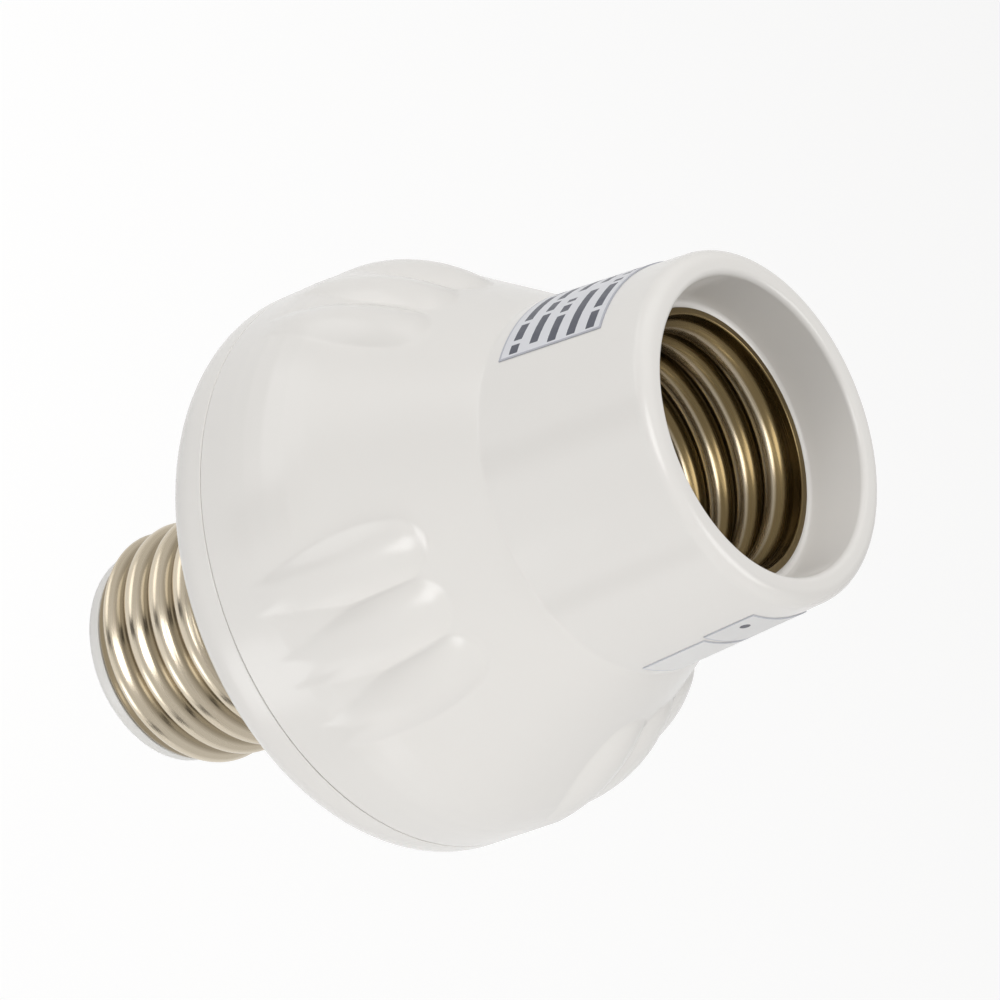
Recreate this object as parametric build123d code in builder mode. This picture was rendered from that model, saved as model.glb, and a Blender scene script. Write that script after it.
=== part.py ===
"""Smart lamp holder: an adapter between an E27 lamp socket and an E27 lamp.

The lamp cap at the bottom screws into the existing socket, the round housing carries
the switching electronics, and the screw shell at the top takes the lamp.
Millimetres, +Z along the axis from the cap to the mouth. The origin is on the axis,
where the collar of the cap meets the rear cover. +X is the side seen from the front.
"""
from build123d import *
from math import acos, atan2, cos, degrees, hypot, radians, sin, tan
import os

os.makedirs("parts", exist_ok=True)

# Edison thread E27, rolled in sheet metal
thread_pitch = 3.629
thread_land = 0.5
thread_sink = 0.12
thread_flats = 3
shell_sheet = 0.3

# housing outside
dome_radius = 30.3
seam_height = 11.7
crown_height = 15.4
crown_arc_radius = 17.8
crown_flats = 4
neck_base_radius = 19.65
neck_base_height = 39.47
neck_mouth_radius = 18.25
mouth_height = 59.6
rim_outer_round = 1.5
rim_inner_bevel = 0.6
housing_wall = 2.0
round_flats = 3

# finger ribs moulded on the dome, in groups round it
rib_groups = 4
ribs_per_group = 3
rib_step_angle = 14.9
rib_group_angle = 11.4
rib_section_radius = 5.1
rib_nose_proud = 0.9
rib_middle_proud = 0.6
rib_middle_angle = 20.0
rib_tail_height = 14.0
rib_nose_along = 7.4

# mouth recess, and the sleeve behind it that holds the screw shell
recess_radius = 15.5
recess_floor_radius = 14.9
recess_depth = 6.7
sleeve_wall = 1.3
sleeve_gap_drop = 1.9

# rear cover and its lap inside the front shell
cover_floor_radius = 18.0
cover_shoulder_height = 7.4
cover_shoulder_round = 5.0
seam_gap = 0.2
lap_wall = 1.2
lap_rise = 3.0
lap_clearance = 0.15

# lamp cap
cap_crest_radius = 13.1
cap_root_radius = 12.13
cap_shell_length = 22.6
cap_shoulder_bevel = 0.35
cap_mouth_radius = 10.2
collar_length = 3.8
collar_taper = 0.9
cap_thread_end_gap = 2.0
cap_thread_collar_gap = 1.56
cap_thread_angle = 306.8
stem_length = 9.0
stem_wall = 1.5
stem_clearance = 0.15
insulator_clearance = 0.1
insulator_disc_radius = 11.0
insulator_disc_thickness = 1.6
insulator_rim_radius = 11.8
insulator_rim_depth = 1.2
insulator_brow_radius = 10.8
insulator_brow_depth = 2.1
insulator_tip_radius = 6.2
insulator_tip_drop = 25.4
cap_length = 27.0
cap_contact_radius = 4.75
cap_contact_bevel = 0.9
cap_rivet_radius = 1.45
cap_rivet_clearance = 0.05
cap_rivet_head_radius = 2.4
cap_rivet_head_height = 0.7
cap_rivet_length = 9.0

# screw shell for the lamp
socket_crest_radius = 12.25
socket_root_radius = 13.35
shell_clearance = 0.15
shell_floor_height = 33.2
shell_floor_hole_radius = 9.0
shell_lip_radius = 14.15
shell_lip_thickness = 0.4
socket_thread_floor_gap = 2.4
socket_thread_lip_gap = 1.7
socket_thread_angle = 186.4

# insulating base under the screw shell
base_flange_thickness = 2.2
base_spigot_height = 2.6
base_clearance = 0.15
pocket_radius = 3.8
pocket_depth = 3.3

# sprung centre contact
contact_head_radius = 3.2
contact_head_height = 1.3
contact_head_bevel = 0.5
contact_head_gap = 0.1
contact_stem_radius = 1.55
contact_running_clearance = 0.08
ring_radius = 2.4
ring_thickness = 0.6
ring_gap = 0.3
ring_clearance = 0.02
stem_below_ring = 0.5
spring_radius = 2.6
spring_wire = 0.4
spring_turns = 3

# terminals
terminal_sheet = 0.4
terminal_radius = 3.5
terminal_hole_radius = 1.9
tail_width = 2.0
tail_drop = 3.8
tail_clearance = 0.15
centre_tail_radius = 3.1
neutral_tail_radius = 8.6
neutral_tab_length = 3.4

# circuit board on the ledge of the rear cover
board_clearance = 1.45
board_ledge = 1.5
board_thickness = 1.6
board_height = 8.0

# parts on the board: length along X, width along Y, height, and the middle's place
relay_size = (18.5, 10.2, 12.4)
relay_place = (-10.2, 8.6)
film_capacitor_size = (13.0, 6.0, 11.5)
film_capacitor_place = (10.0, 12.0)
case_bevel = 0.6
can_radius = 4.0
can_height = 12.0
can_place = (17.0, 1.5)
varistor_radius = 4.5
varistor_thickness = 3.6
varistor_place = (8.0, 4.5)
varistor_standoff = 1.5
lead_width = 0.6
rectifier_size = (6.5, 5.0, 2.4)
rectifier_place = (-14.0, -4.5)
chip_size = (5.0, 4.0, 1.5)
chip_place = (-3.0, -8.0)
leg_size = (0.6, 1.0, 0.3)
leg_step = 1.27
resistor_radius = 1.9
resistor_length = 8.0
resistor_place = (5.0, -13.5)
resistor_standoff = 0.5
resistor_lead_reach = 1.6
choke_radius = 3.6
choke_winding_radius = 3.2
choke_height = 7.0
choke_flange = 0.9
choke_place = (-12.0, -14.5)
radio_board_size = (16.0, 0.8, 12.0)
radio_place = (0.0, -21.0)
shield_size = (11.0, 2.2, 8.5)
shield_lift = 1.2

# wires
wire_radius = 0.8
wire_end_gap = 0.2
shell_wire_gap = 0.33
neutral_wire_height = -15.5
neutral_pad_radius = 5.5

# paper labels on the neck: the margins to the neck's foot and the mouth, and the angles
label_thickness = 0.12
label_seat = 0.01
rating_label_foot_margin = 1.8
rating_label_mouth_margin = 5.8
rating_label_angles = (-110.0, -50.5)
blank_sticker_foot_margin = 1.1
blank_sticker_mouth_margin = 11.0
blank_sticker_angles = (67.0, 100.0)
seal_sticker_length = 6.4
seal_sticker_mouth_margin = 4.0
seal_sticker_angles = (64.5, 92.0)

# worked out from the driving sizes
board_top = board_height + board_thickness
ledge_height = mouth_height - recess_depth
sleeve_gap_top = ledge_height - sleeve_gap_drop
sleeve_foot_height = shell_floor_height - base_spigot_height
pocket_floor_height = shell_floor_height - pocket_depth
shell_outer_radius = socket_root_radius + shell_sheet
sleeve_bore_radius = shell_outer_radius + shell_clearance
sleeve_outer_radius = sleeve_bore_radius + sleeve_wall
base_foot_height = sleeve_foot_height - base_flange_thickness
tail_foot_height = base_foot_height - tail_drop
crown_centre_radius = dome_radius - crown_arc_radius
crown_to_neck = (neck_base_radius - crown_centre_radius, neck_base_height - crown_height)
crown_reach = acos(crown_arc_radius / hypot(*crown_to_neck))
cone_angle = degrees(atan2(crown_to_neck[1], crown_to_neck[0]) - crown_reach)
lap_outer_radius = dome_radius - housing_wall - lap_clearance
lap_inner_radius = lap_outer_radius - lap_wall
lap_top = seam_height + lap_rise
board_radius = lap_inner_radius - board_clearance
ledge_radius = board_radius - board_ledge
collar_stem_radius = cap_crest_radius - shell_sheet - stem_clearance
stem_radius = cap_root_radius - shell_sheet - stem_clearance
stem_bore_radius = stem_radius - stem_wall


def radial_plane(angle):
    """The upright plane through the axis at this angle, its x outwards and its y up."""
    return Plane.XZ.rotated((0, 0, angle))


def crown_point(inset, angle):
    """A point of the dome's crown arc, inset from the outside, at this angle above level."""
    radius = crown_arc_radius - inset
    return (
        crown_centre_radius + radius * cos(radians(angle)),
        crown_height + radius * sin(radians(angle)),
    )


def cone_point(inset, along):
    """A point of the dome's cone, inset from the outside, this far up from the crown."""
    start = crown_point(inset, cone_angle)
    return (
        start[0] - along * sin(radians(cone_angle)),
        start[1] + along * cos(radians(cone_angle)),
    )


def cone_height_at(inset, radius):
    """The height at which the dome's cone, inset from the outside, has this radius."""
    start = crown_point(inset, cone_angle)
    return start[1] + (start[0] - radius) / tan(radians(cone_angle))


def neck_radius_at(height):
    """The outside radius of the tapered neck at this height."""
    share = (height - neck_base_height) / (mouth_height - neck_base_height)
    return neck_base_radius + share * (neck_mouth_radius - neck_base_radius)


def rounded_corner(before, corner, after, radius):
    """The points of a corner's round, drawn in flats."""
    line = FilletPolyline(before, corner, after, radius=radius, mode=Mode.PRIVATE)
    bend = line.edges().filter_by(GeomType.CIRCLE)[0]
    if ((bend @ 0) - (line @ 0)).length > ((bend @ 1) - (line @ 0)).length:
        bend = bend.reversed()
    points = [bend @ (step / round_flats) for step in range(round_flats + 1)]
    return [(point.X, point.Y) for point in points]


def round_thread(barrel_radius, crest_radius, start_height, end_height, start_angle):
    """A helical knuckle ridge on a barrel, in or out to its crest, its round in flats."""
    side = 1 if crest_radius > barrel_radius else -1
    depth = abs(crest_radius - barrel_radius)
    half_foot = (thread_pitch - thread_land) / 2
    knuckle = ThreePointArc((0, -half_foot), (side * depth, 0), (0, half_foot), mode=Mode.PRIVATE)
    crest = [knuckle @ (step / thread_flats) for step in range(1, thread_flats)]
    with BuildPart() as ridge:
        with BuildLine() as path:
            Helix(thread_pitch, end_height - start_height, barrel_radius)
        with BuildSketch(Plane(origin=path.line @ 0, x_dir=(1, 0, 0), z_dir=path.line % 0)):
            with BuildLine():
                Polyline(
                    (-side * thread_sink, half_foot),
                    (-side * thread_sink, -half_foot),
                    *crest,
                    close=True,
                )
            make_face()
        sweep(is_frenet=True)
    return ridge.part.rotate(Axis.Z, start_angle).moved(Location((0, 0, start_height)))


def write(piece, name):
    """Label a finished piece and save it."""
    piece.part.label = name
    export_step(piece.part, f"parts/{name}.step")


# Rear cover: a moulded bowl with a lap ring that is welded inside the front shell, a
# stem that the lamp cap is crimped on, and a ledge that the circuit board is glued on.
cover_slope = cover_shoulder_height / (dome_radius - cover_floor_radius)
cover_wall_rise = housing_wall * hypot(1, cover_slope)
cavity_floor_radius = cover_floor_radius - (cover_wall_rise - housing_wall) / cover_slope
ledge_foot = cover_wall_rise + (ledge_radius - cover_floor_radius) * cover_slope

with BuildPart() as rear_cover:
    with BuildSketch(Plane.XZ):
        with BuildLine():
            seam_edge = (dome_radius, seam_height - seam_gap / 2)
            shoulder = rounded_corner(
                (cover_floor_radius, 0),
                (dome_radius, cover_shoulder_height),
                seam_edge,
                cover_shoulder_round,
            )
            Polyline(
                (0, 0),
                (cover_floor_radius, 0),
                *shoulder,
                seam_edge,
                (lap_outer_radius, seam_height - seam_gap / 2),
                (lap_outer_radius, lap_top),
                (lap_inner_radius, lap_top),
                (lap_inner_radius, board_height),
                (ledge_radius, board_height),
                (ledge_radius, ledge_foot),
                (cavity_floor_radius, housing_wall),
                (0, housing_wall),
                close=True,
            )
        make_face()
    revolve(axis=Axis.Z)
    with BuildSketch(Plane.XY):
        Circle(collar_stem_radius)
    extrude(amount=-(collar_length - shell_sheet))
    with BuildSketch(Plane.XY):
        Circle(stem_radius)
    extrude(amount=-stem_length)
    with BuildSketch(Plane.XY.offset(housing_wall)):
        Circle(stem_bore_radius)
    extrude(amount=-(stem_length + housing_wall), mode=Mode.SUBTRACT)
write(rear_cover, "rear_cover")


# Front shell: the ribbed dome, the tapered neck and the mouth in one moulding. Inside,
# a sleeve behind the mouth holds the screw shell and the base.
rib_tail = (dome_radius - rib_section_radius, rib_tail_height)
rib_middle = crown_point(rib_section_radius - rib_middle_proud, rib_middle_angle)
rib_nose = cone_point(rib_section_radius - rib_nose_proud, rib_nose_along)
with BuildPart() as finger:
    for (start_out, start_up), (end_out, end_up) in ((rib_tail, rib_middle), (rib_middle, rib_nose)):
        run = Vector(end_out - start_out, 0, end_up - start_up)
        with BuildSketch(Plane(origin=(start_out, 0, start_up), z_dir=run)):
            Circle(rib_section_radius)
        extrude(amount=run.length)
        with Locations((end_out, 0, end_up)):
            Sphere(rib_section_radius)

with BuildPart() as shell_cavity:
    wall_radius = dome_radius - housing_wall
    neck_inside = neck_mouth_radius - housing_wall
    with BuildSketch(Plane.XZ):
        with BuildLine():
            Polyline(
                (0, seam_height),
                (wall_radius, seam_height),
                (wall_radius, crown_height),
                (neck_inside, cone_height_at(housing_wall, neck_inside)),
                (neck_inside, sleeve_gap_top),
                (sleeve_outer_radius, sleeve_gap_top),
                (sleeve_outer_radius, sleeve_foot_height),
                (0, sleeve_foot_height),
                close=True,
            )
        make_face()
    revolve(axis=Axis.Z)

with BuildPart() as front_shell:
    with BuildSketch(Plane.XZ):
        with BuildLine():
            neck_foot = (neck_base_radius, neck_base_height)
            crown = [
                crown_point(0, cone_angle * step / crown_flats) for step in range(crown_flats + 1)
            ]
            Polyline(
                (0, seam_height + seam_gap / 2),
                (dome_radius, seam_height + seam_gap / 2),
                *crown,
                neck_foot,
                *rounded_corner(
                    neck_foot, (neck_mouth_radius, mouth_height), (0, mouth_height), rim_outer_round
                ),
                (0, mouth_height),
                close=True,
            )
        make_face()
    revolve(axis=Axis.Z)
    for group in range(rib_groups):
        for place in range(ribs_per_group):
            turn = rib_group_angle + 360 / rib_groups * group
            turn += rib_step_angle * (place - (ribs_per_group - 1) / 2)
            add(finger.part.rotate(Axis.Z, turn))
    add(shell_cavity.part, mode=Mode.SUBTRACT)
    with BuildSketch(Plane.XY.offset(sleeve_foot_height)):
        Circle(sleeve_bore_radius)
    extrude(amount=ledge_height - sleeve_foot_height, mode=Mode.SUBTRACT)
    with BuildSketch(Plane.XZ):
        with BuildLine():
            Polyline(
                (0, ledge_height),
                (recess_floor_radius, ledge_height),
                (recess_radius, mouth_height - rim_inner_bevel),
                (recess_radius + rim_inner_bevel, mouth_height),
                (0, mouth_height),
                close=True,
            )
        make_face()
    revolve(axis=Axis.Z, mode=Mode.SUBTRACT)
write(front_shell, "front_shell")


# Lamp cap: a nickel-plated shell with the rolled thread and a plain collar, crimped on
# the cover's stem and closed by a plastic insulator that the contact is riveted through.
with BuildPart() as cap_shell:
    inside_radius = cap_root_radius - shell_sheet
    with BuildSketch(Plane.XZ):
        with BuildLine():
            Polyline(
                (cap_mouth_radius, -cap_shell_length),
                (cap_root_radius - cap_shoulder_bevel, -cap_shell_length),
                (cap_root_radius, cap_shoulder_bevel - cap_shell_length),
                (cap_root_radius, -(collar_length + collar_taper)),
                (cap_crest_radius, -collar_length),
                (cap_crest_radius, 0),
                (cap_crest_radius - shell_sheet, 0),
                (cap_crest_radius - shell_sheet, shell_sheet - collar_length),
                (inside_radius, shell_sheet - collar_length),
                (inside_radius, shell_sheet - cap_shell_length),
                (cap_mouth_radius, shell_sheet - cap_shell_length),
                close=True,
            )
        make_face()
    revolve(axis=Axis.Z)
    add(
        round_thread(
            cap_root_radius,
            cap_crest_radius,
            cap_thread_end_gap - cap_shell_length,
            -(collar_length + cap_thread_collar_gap),
            cap_thread_angle,
        )
    )
write(cap_shell, "cap_shell")

insulator_seat = shell_sheet - cap_shell_length
insulator_top = insulator_seat + insulator_disc_thickness
with BuildPart() as cap_insulator:
    hole = cap_rivet_radius + cap_rivet_clearance
    neck = cap_mouth_radius - insulator_clearance
    with BuildSketch(Plane.XZ):
        with BuildLine():
            Polyline(
                (hole, -insulator_tip_drop),
                (insulator_tip_radius, -insulator_tip_drop),
                (insulator_brow_radius, -cap_shell_length - insulator_brow_depth),
                (insulator_rim_radius, -cap_shell_length - insulator_rim_depth),
                (insulator_rim_radius, -cap_shell_length),
                (neck, -cap_shell_length),
                (neck, insulator_seat),
                (insulator_disc_radius, insulator_seat),
                (insulator_disc_radius, insulator_top),
                (hole, insulator_top),
                close=True,
            )
        make_face()
    revolve(axis=Axis.Z)
write(cap_insulator, "cap_insulator")

with BuildPart() as cap_contact:
    with BuildSketch(Plane.XY.offset(-cap_length)):
        Circle(cap_contact_radius)
    extrude(amount=cap_length - insulator_tip_drop)
    chamfer(cap_contact.edges().group_by(Axis.Z)[0], cap_contact_bevel)
    with BuildSketch(Plane.XY.offset(-insulator_tip_drop)):
        Circle(cap_rivet_radius)
    extrude(amount=cap_rivet_length - cap_length + insulator_tip_drop)
    with BuildSketch(Plane.XY.offset(insulator_top)):
        Circle(cap_rivet_head_radius)
    extrude(amount=cap_rivet_head_height)
write(cap_contact, "cap_contact")


# Screw shell: drawn from brass sheet and nickel-plated, with its thread rolled inwards,
# a turned-in floor on the base and a rolled lip that rests on the recess's ledge.
with BuildPart() as socket_shell:
    with BuildSketch(Plane.XZ):
        with BuildLine():
            Polyline(
                (shell_floor_hole_radius, shell_floor_height),
                (shell_outer_radius, shell_floor_height),
                (shell_outer_radius, ledge_height),
                (shell_lip_radius, ledge_height),
                (shell_lip_radius, ledge_height + shell_lip_thickness),
                (socket_root_radius, ledge_height + shell_lip_thickness),
                (socket_root_radius, shell_floor_height + shell_sheet),
                (shell_floor_hole_radius, shell_floor_height + shell_sheet),
                close=True,
            )
        make_face()
    revolve(axis=Axis.Z)
    add(
        round_thread(
            socket_root_radius,
            socket_crest_radius,
            shell_floor_height + socket_thread_floor_gap,
            ledge_height - socket_thread_lip_gap,
            socket_thread_angle,
        )
    )
write(socket_shell, "socket_shell")


# Socket base: a moulded disc welded under the sleeve. Its spigot carries the screw
# shell, and its pocket guides the sprung centre contact.
with BuildPart() as socket_base:
    with BuildSketch(Plane.XY.offset(base_foot_height)):
        Circle(sleeve_outer_radius)
    extrude(amount=base_flange_thickness)
    with BuildSketch(Plane.XY.offset(sleeve_foot_height)):
        Circle(sleeve_bore_radius - base_clearance)
    extrude(amount=base_spigot_height)
    with BuildSketch(Plane.XY.offset(pocket_floor_height)):
        Circle(pocket_radius)
    extrude(amount=pocket_depth, mode=Mode.SUBTRACT)
    with BuildSketch(Plane.XY.offset(base_foot_height)):
        Circle(contact_stem_radius + contact_running_clearance)
        with Locations((centre_tail_radius, 0), (-neutral_tail_radius, 0)):
            Rectangle(terminal_sheet + 2 * tail_clearance, tail_width + 2 * tail_clearance)
    extrude(amount=shell_floor_height - base_foot_height, mode=Mode.SUBTRACT)
write(socket_base, "socket_base")


# Centre contact: a brass plunger that slides in the base's hole, pushed up by a coil
# spring and stopped by a ring on its stem below the base.
contact_seat = shell_floor_height + contact_head_gap
stem_foot = base_foot_height - ring_gap - ring_thickness - stem_below_ring
with BuildPart() as centre_contact:
    with BuildSketch(Plane.XY.offset(contact_seat)):
        Circle(contact_head_radius)
    extrude(amount=contact_head_height)
    chamfer(centre_contact.edges().group_by(Axis.Z)[-1], contact_head_bevel)
    with BuildSketch(Plane.XY.offset(stem_foot)):
        Circle(contact_stem_radius)
    extrude(amount=contact_seat - stem_foot)
write(centre_contact, "centre_contact")

with BuildPart() as retaining_ring:
    with BuildSketch(Plane.XY.offset(base_foot_height - ring_gap - ring_thickness)):
        Circle(ring_radius)
        Circle(contact_stem_radius + ring_clearance, mode=Mode.SUBTRACT)
    extrude(amount=ring_thickness)
write(retaining_ring, "retaining_ring")

spring_foot = pocket_floor_height + terminal_sheet + spring_wire / 2
spring_rise = contact_seat - spring_wire / 2 - spring_foot
with BuildPart() as contact_spring:
    with BuildLine() as path:
        Helix(pitch=spring_rise / spring_turns, height=spring_rise, radius=spring_radius)
    with BuildSketch(Plane(origin=path.line @ 0, x_dir=(1, 0, 0), z_dir=path.line % 0)):
        Rectangle(spring_wire, spring_wire)
    sweep(is_frenet=True)
contact_spring.part = contact_spring.part.moved(Location((0, 0, spring_foot)))
write(contact_spring, "contact_spring")


# Terminals: the ring under the spring, and the tab welded on the floor of the screw
# shell, each with a tail through the base for its wire.
with BuildPart() as centre_terminal:
    with BuildSketch(Plane.XY.offset(pocket_floor_height)):
        Circle(terminal_radius)
        Circle(terminal_hole_radius, mode=Mode.SUBTRACT)
    extrude(amount=terminal_sheet)
    with BuildSketch(Plane.XY.offset(tail_foot_height)):
        with Locations((centre_tail_radius, 0)):
            Rectangle(terminal_sheet, tail_width)
    extrude(amount=pocket_floor_height + terminal_sheet - tail_foot_height)
write(centre_terminal, "centre_terminal")

tab_foot_height = shell_floor_height + shell_sheet
with BuildPart() as neutral_terminal:
    with BuildSketch(Plane.XY.offset(tab_foot_height)):
        tab_inner = terminal_sheet / 2 - neutral_tail_radius
        with Locations((tab_inner - neutral_tab_length / 2, 0)):
            Rectangle(neutral_tab_length, tail_width)
    extrude(amount=terminal_sheet)
    with BuildSketch(Plane.XY.offset(tail_foot_height)):
        with Locations((-neutral_tail_radius, 0)):
            Rectangle(terminal_sheet, tail_width)
    extrude(amount=tab_foot_height + terminal_sheet - tail_foot_height)
write(neutral_terminal, "neutral_terminal")


# Circuit board: one round board glued on the cover's ledge.
with BuildPart() as circuit_board:
    with BuildSketch(Plane.XY.offset(board_height)):
        Circle(board_radius)
    extrude(amount=board_thickness)
write(circuit_board, "circuit_board")


def cased_part(size, place):
    """A box-shaped electronic part that stands on the board, its case edges bevelled."""
    with BuildPart() as case:
        with BuildSketch(Plane.XY.offset(board_top)):
            with Locations(place):
                Rectangle(size[0], size[1])
        extrude(amount=size[2])
        chamfer(case.edges().filter_by(Axis.Z) + case.edges().group_by(Axis.Z)[-1], case_bevel)
    return case


def legged_part(size, place, legs_per_side):
    """A flat moulded part on the board with rows of legs along its two long sides."""
    with BuildPart() as case:
        with BuildSketch(Plane.XY.offset(board_top)):
            with Locations(place):
                Rectangle(size[0], size[1])
        extrude(amount=size[2])
        reach = (size[1] + leg_size[1]) / 2
        with BuildSketch(Plane.XY.offset(board_top)):
            with Locations((place[0], place[1] + reach), (place[0], place[1] - reach)):
                with GridLocations(leg_step, 0, legs_per_side, 1):
                    Rectangle(leg_size[0], leg_size[1])
        extrude(amount=leg_size[2])
    return case


write(cased_part(relay_size, relay_place), "relay")
write(cased_part(film_capacitor_size, film_capacitor_place), "film_capacitor")
write(legged_part(rectifier_size, rectifier_place, 2), "bridge_rectifier")
write(legged_part(chip_size, chip_place, 4), "power_chip")

with BuildPart() as electrolytic_capacitor:
    with BuildSketch(Plane.XY.offset(board_top)):
        with Locations(can_place):
            Circle(can_radius)
    extrude(amount=can_height)
write(electrolytic_capacitor, "electrolytic_capacitor")

with BuildPart() as varistor:
    disc_height = board_top + varistor_standoff + varistor_radius
    front = varistor_place[1] - varistor_thickness / 2
    with BuildSketch(Plane.XZ.offset(-front)):
        with Locations((varistor_place[0], disc_height)):
            Circle(varistor_radius)
    extrude(amount=-varistor_thickness)
    with BuildSketch(Plane.XY.offset(board_top)):
        with Locations(varistor_place):
            with GridLocations(varistor_radius, 0, 2, 1):
                Rectangle(lead_width, lead_width)
    extrude(amount=disc_height - board_top)
write(varistor, "varistor")

with BuildPart() as fusible_resistor:
    height = board_top + resistor_standoff + resistor_radius
    reach = resistor_length / 2 + resistor_lead_reach
    with BuildSketch(Plane.YZ.offset(resistor_place[0] - resistor_length / 2)):
        with Locations((resistor_place[1], height)):
            Circle(resistor_radius)
    extrude(amount=resistor_length)
    with BuildSketch(Plane.YZ.offset(resistor_place[0] - reach)):
        with Locations((resistor_place[1], height)):
            Rectangle(lead_width, lead_width)
    extrude(amount=2 * reach)
    with BuildSketch(Plane.XY.offset(board_top)):
        with Locations(resistor_place):
            with GridLocations(2 * reach - lead_width, 0, 2, 1):
                Rectangle(lead_width, lead_width)
    extrude(amount=height + lead_width / 2 - board_top)
write(fusible_resistor, "fusible_resistor")

with BuildPart() as choke:
    with BuildSketch(Plane.XY.offset(board_top)):
        with Locations(choke_place):
            Circle(choke_winding_radius)
    extrude(amount=choke_height)
    for foot in (0, choke_height - choke_flange):
        with BuildSketch(Plane.XY.offset(board_top + foot)):
            with Locations(choke_place):
                Circle(choke_radius)
        extrude(amount=choke_flange)
write(choke, "choke")

with BuildPart() as radio_module:
    with BuildSketch(Plane.XY.offset(board_top)):
        with Locations(radio_place):
            Rectangle(radio_board_size[0], radio_board_size[1])
    extrude(amount=radio_board_size[2])
write(radio_module, "radio_module")

with BuildPart() as radio_shield:
    with BuildSketch(Plane.XY.offset(board_top + shield_lift)):
        inner_face = radio_place[1] + radio_board_size[1] / 2
        with Locations((radio_place[0], inner_face + shield_size[1] / 2)):
            Rectangle(shield_size[0], shield_size[1])
    extrude(amount=shield_size[2])
    chamfer(radio_shield.edges().group_by(Axis.Y)[-1], case_bevel / 2)
write(radio_shield, "radio_shield")


# Wires: stiff insulated leads soldered on the board, two down into the cap and two up
# to the terminals. They run straight, and the one to the cap's wall leans.
def wire(foot, top):
    """A straight wire between two points."""
    run = Vector(*top) - Vector(*foot)
    with BuildPart() as lead:
        with BuildSketch(Plane(origin=foot, z_dir=run)):
            Circle(wire_radius)
        extrude(amount=run.length)
    return lead


rivet_top = cap_rivet_length - cap_length
neutral_foot_radius = cap_root_radius - shell_sheet - shell_wire_gap - wire_radius
write(wire((0, 0, rivet_top), (0, 0, board_height)), "wire_live_in")
write(
    wire(
        (neutral_foot_radius, 0, neutral_wire_height),
        (neutral_pad_radius, 0, board_height - wire_end_gap),
    ),
    "wire_neutral_in",
)
write(
    wire((centre_tail_radius, 0, board_top), (centre_tail_radius, 0, tail_foot_height)),
    "wire_switched_live",
)
write(
    wire((-neutral_tail_radius, 0, board_top), (-neutral_tail_radius, 0, tail_foot_height)),
    "wire_neutral_out",
)


# Labels: printed paper wrapped on the tapered neck.
def wrapped_label(low, high, angles):
    """A thin plate on the neck between two heights and two angles."""
    first_angle, last_angle = angles
    inner = label_seat
    outer = label_seat + label_thickness
    with BuildPart() as label:
        with BuildSketch(radial_plane(first_angle)):
            with BuildLine():
                Polyline(
                    (neck_radius_at(low) + inner, low),
                    (neck_radius_at(low) + outer, low),
                    (neck_radius_at(high) + outer, high),
                    (neck_radius_at(high) + inner, high),
                    close=True,
                )
            make_face()
        revolve(axis=Axis.Z, revolution_arc=last_angle - first_angle)
    return label


write(
    wrapped_label(
        neck_base_height + rating_label_foot_margin,
        mouth_height - rating_label_mouth_margin,
        rating_label_angles,
    ),
    "rating_label",
)
write(
    wrapped_label(
        neck_base_height + blank_sticker_foot_margin,
        mouth_height - blank_sticker_mouth_margin,
        blank_sticker_angles,
    ),
    "blank_sticker",
)
seal_sticker_top = mouth_height - seal_sticker_mouth_margin
write(
    wrapped_label(seal_sticker_top - seal_sticker_length, seal_sticker_top, seal_sticker_angles),
    "seal_sticker",
)
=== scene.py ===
from math import atan2, ceil, cos, degrees, hypot, pi, radians, sin, sqrt, tan

import bmesh
import bpy
from mathutils import Matrix, Vector


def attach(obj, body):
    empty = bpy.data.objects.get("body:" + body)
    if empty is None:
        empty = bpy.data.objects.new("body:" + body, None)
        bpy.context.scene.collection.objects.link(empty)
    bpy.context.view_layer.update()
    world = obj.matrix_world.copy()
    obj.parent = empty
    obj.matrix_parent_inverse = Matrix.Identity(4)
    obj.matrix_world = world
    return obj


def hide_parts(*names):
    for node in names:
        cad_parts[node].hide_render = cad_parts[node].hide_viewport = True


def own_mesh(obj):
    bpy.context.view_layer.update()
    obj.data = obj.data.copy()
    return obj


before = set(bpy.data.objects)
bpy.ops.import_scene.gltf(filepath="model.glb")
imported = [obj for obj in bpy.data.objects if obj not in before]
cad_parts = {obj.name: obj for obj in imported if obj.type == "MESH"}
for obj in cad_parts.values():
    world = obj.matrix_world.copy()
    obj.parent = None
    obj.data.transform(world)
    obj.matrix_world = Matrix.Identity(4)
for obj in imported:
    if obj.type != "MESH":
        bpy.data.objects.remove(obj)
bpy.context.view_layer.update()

# View: the photograph's camera, a long lens that looks down the axis from the mouth's
# side, rolled so that the cap points to the left. Its place and lens were fitted to the
# thread's crests, the seam and the outlines.
camera_place = (0.40044, 0.0, 0.33286)
camera_look = Vector((-0.79345, -0.00512, -0.60861))
picture_up = Vector((-0.21620, -0.93238, 0.28970))
picture_right = camera_look.cross(picture_up)
lens_data = bpy.data.cameras.new("studio_camera")
lens_data.sensor_width = 36.0
lens_data.lens = 178.45
lens_data.clip_start = 0.02
camera = bpy.data.objects.new("studio_camera", lens_data)
turn = Matrix((picture_right, picture_up, -camera_look)).transposed()
camera.matrix_world = Matrix.Translation(camera_place) @ turn.to_4x4()
bpy.context.collection.objects.link(camera)
bpy.context.scene.camera = camera


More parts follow.
